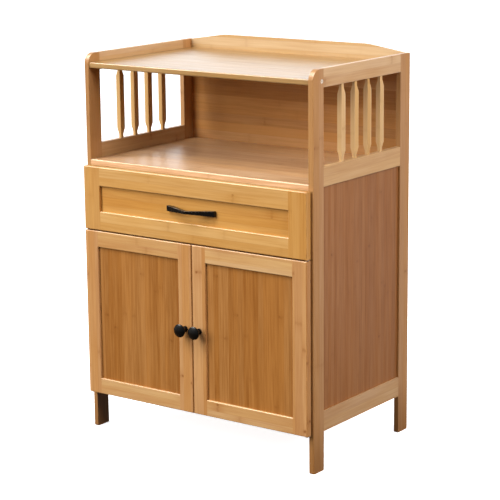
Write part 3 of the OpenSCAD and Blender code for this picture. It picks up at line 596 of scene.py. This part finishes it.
BOARDS |= {
    "top_shelf": ("top", X, BOARD_EASE),
    "gallery_board": ("gallery", X, FRAME_EASE),
    "niche_back_panel": ("back", X, PANEL_EASE),
    "middle_shelf": ("shelf", X, BOARD_EASE),
    "cross_rail": ("frame", X, BOARD_EASE),
    "cupboard_floor": ("shelf", X, BOARD_EASE),
    "cupboard_back_panel": ("back", X, PANEL_EASE),
    "loose_shelf": ("shelf", X, LOOSE_EASE),
    "dowels": ("box", X, DOWEL_EASE),
    "drawer_top_rail": ("front", X, FRONT_EASE),
    "drawer_bottom_rail": ("front", X, FRONT_EASE),
    "drawer_front_panel": ("drawer_panel", X, PANEL_EASE),
    "drawer_box_front": ("box", X, BOARD_EASE),
    "drawer_back": ("box", X, BOARD_EASE),
    "drawer_bottom": ("box", X, PANEL_EASE),
}
for node, look in BOARDS.items():
    add_board(node, *look)

# Fittings

FITTINGS = {
    "black": ["left_door_knob", "right_door_knob"],
    "bolt": ["shelf_bolts"],
    "steel": ["shelf_pins", "cabinet_runners", "hinge_plates", "hinge_screws", "drawer_runners",
              "pull_screws", "left_door_knob_screw", "right_door_knob_screw", "left_door_strike",
              "right_door_strike"],
    "brass": ["left_door_bushes", "right_door_bushes"],
    "plastic": ["door_catches"],
}


def add_fitting(node, finish):
    """A copy of a fitting whose round faces are shaded smooth."""
    show_in_place(node, node + "_metal", node_shape(node), finish, FITTING_ROUND)


def add_pull():
    """The bow pull, with its edges chamfered."""
    shape = node_shape("drawer_pull")
    join_flat_faces(shape)
    ease_edges(shape, [edge for edge in shape.edges if is_corner(edge, PULL_CORNER)], CHAMFER, 1)
    show_in_place("drawer_pull", "drawer_pull_metal", shape, "black", BOARD_ROUND)


add_pull()
for finish, nodes in FITTINGS.items():
    for node in nodes:
        add_fitting(node, finish)

# Floor, light and camera

FLOOR_SIZE, FLOOR_GLOW = 120, 0.82
# Colours of the surroundings above, level and below, and their strength on the left and right
ABOVE, LEVEL, BELOW = (0.52, 0.54, 0.57, 1), (0.34, 0.32, 0.30, 1), (0.14, 0.08, 0.04, 1)
LEFT_SHARE, RIGHT_SHARE = 1.1, 0.25
# Where the surroundings change, as parts of a ray's rise and of its way to the right
GROUND_FADE, SKY_FADE, SIDE_FADE = (-0.28, 0.06), (0.0, 0.8), (-0.8, 0.8)
SUN_PLACE, SUN_POWER, SUN_ANGLE = (-0.9, -1.5, 3.0), 2.25, math.radians(26)
MIDDLE = (0, 0, 0.5)
# Each lamp's place, aim, power, size and colour: soft boxes light the boards, cards only shine in them
SOFT_BOXES = {
    "key": ((-1.7, -3.0, 1.9), MIDDLE, 118, (2.4, 2.0), (1.0, 1.0, 1.0)),
    "side_fill": ((3.0, -0.4, 2.15), (0.2, 0, 0.45), 118, (1.8, 1.4), (1.0, 0.93, 0.9)),
    "rear_fill": ((0.4, 3.6, 1.7), (0, 0.2, 0.45), 90, (2.4, 1.8), (1.0, 1.0, 1.0)),
}
CARDS = {
    "back_card": ((-3.1, 4.3, 2.0), MIDDLE, 29, (3.2, 1.6), (0.85, 0.93, 1.0)),
    "low_card": ((3.0, 4.0, -0.45), MIDDLE, 14, (3.2, 1.6), (0.95, 0.97, 1.0)),
    "edge_card": ((-1.8, -0.8, 2.9), MIDDLE, 170, (1.8, 1.6), (1.0, 0.95, 0.86)),
}
# The photograph's view: angles in degrees, distances in metres from the middle of the cabinet, from
# the front of its posts and from the floor, and the lens in millimetres
HEADING, TILT, ROLL = 35.942, -12.041, -0.566
TO_RIGHT, TO_FRONT, EYE_HEIGHT = 2.31588, 2.99772, 1.28517
LENS, SHIFT, FAR_END = 130.58, -0.03, 200
POSTS_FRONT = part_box("right_front_post")[0][1]


def add_floor():
    """A pale floor that lights the object from below no more than the world does."""
    material, g, shader = new_material("pale_floor")
    cloud = g.noise(g.object_place(), 1.3, 3.0)
    g.feed_all(shader, Base_Color=g.mix(cloud, grey(0.86), grey(0.9)),
               Roughness=0.8, Emission_Color=WHITE, Emission_Strength=FLOOR_GLOW)
    bpy.ops.mesh.primitive_plane_add(size=FLOOR_SIZE)
    floor = bpy.context.object
    floor.name = "floor"
    floor.data.materials.append(material)
    floor.visible_diffuse = False
    floor.visible_glossy = False


def add_world():
    """Soft studio surroundings, bright above and dim below, before a plain white backdrop."""
    world = bpy.data.worlds.new("studio")
    bpy.context.scene.world = world
    world.use_nodes = True
    g = Graph(world.node_tree)
    ray = g.node("ShaderNodeSeparateXYZ")
    g.feed(ray.inputs[0], g.node("ShaderNodeTexCoord").outputs["Generated"])
    sideways, rise = ray.outputs[0], ray.outputs[2]
    ground = g.mix(g.ramp(rise, *GROUND_FADE), BELOW, LEVEL)
    back = world.node_tree.nodes["Background"]
    g.feed_all(back.inputs, Color=g.mix(g.ramp(rise, *SKY_FADE), ground, ABOVE),
               Strength=g.ramp(sideways, *SIDE_FADE, LEFT_SHARE, RIGHT_SHARE))
    paper = g.node("ShaderNodeBackground")
    g.feed(paper.inputs["Color"], WHITE)
    seen = g.node("ShaderNodeMixShader")
    g.feed(seen.inputs[0], g.node("ShaderNodeLightPath").outputs["Is Camera Ray"])
    g.feed(seen.inputs[1], back.outputs[0])
    g.feed(seen.inputs[2], paper.outputs[0])
    g.feed(world.node_tree.nodes["World Output"].inputs["Surface"], seen.outputs[0])


def hang_lamp(data, place, aim):
    lamp = bpy.data.objects.new(data.name, data)
    bpy.context.collection.objects.link(lamp)
    lamp.location = place
    lamp.rotation_euler = (Vector(aim) - Vector(place)).to_track_quat("-Z", "Y").to_euler()
    return lamp


def add_area(name, place, aim, power, size, colour):
    data = bpy.data.lights.new(name, "AREA")
    data.shape = "RECTANGLE"
    data.size, data.size_y = size
    data.energy = power
    data.color = colour
    return hang_lamp(data, place, aim)


def add_lights():
    """Soft boxes in front, on the right and behind, light from above, and cards for the sheen."""
    sun = bpy.data.lights.new("overhead", "SUN")
    sun.energy = SUN_POWER
    sun.angle = SUN_ANGLE
    hang_lamp(sun, SUN_PLACE, MIDDLE)
    for name, settings in SOFT_BOXES.items():
        add_area(name, *settings).visible_glossy = False
    for name, settings in CARDS.items():
        add_area(name, *settings).visible_diffuse = False


def add_camera():
    """A camera that sees the cabinet as the photograph does."""
    heading, tilt, roll = map(math.radians, (HEADING, TILT, ROLL))
    ahead = Vector((-math.sin(heading) * math.cos(tilt), math.cos(heading) * math.cos(tilt),
                    math.sin(tilt)))
    right = Vector((math.cos(heading), math.sin(heading), 0))
    up = right.cross(ahead)
    x = right * math.cos(roll) + up * math.sin(roll)
    y = up * math.cos(roll) - right * math.sin(roll)
    data = bpy.data.cameras.new("camera")
    data.lens = LENS
    data.shift_y = SHIFT
    data.clip_end = FAR_END
    camera = bpy.data.objects.new("camera", data)
    bpy.context.collection.objects.link(camera)
    turn = Matrix((x, y, -ahead)).transposed().to_4x4()
    camera.matrix_world = Matrix.Translation((TO_RIGHT, POSTS_FRONT - TO_FRONT, EYE_HEIGHT)) @ turn
    bpy.context.scene.camera = camera


add_floor()
add_world()
add_lights()
add_camera()
bpy.context.scene.view_settings.view_transform = "Standard"
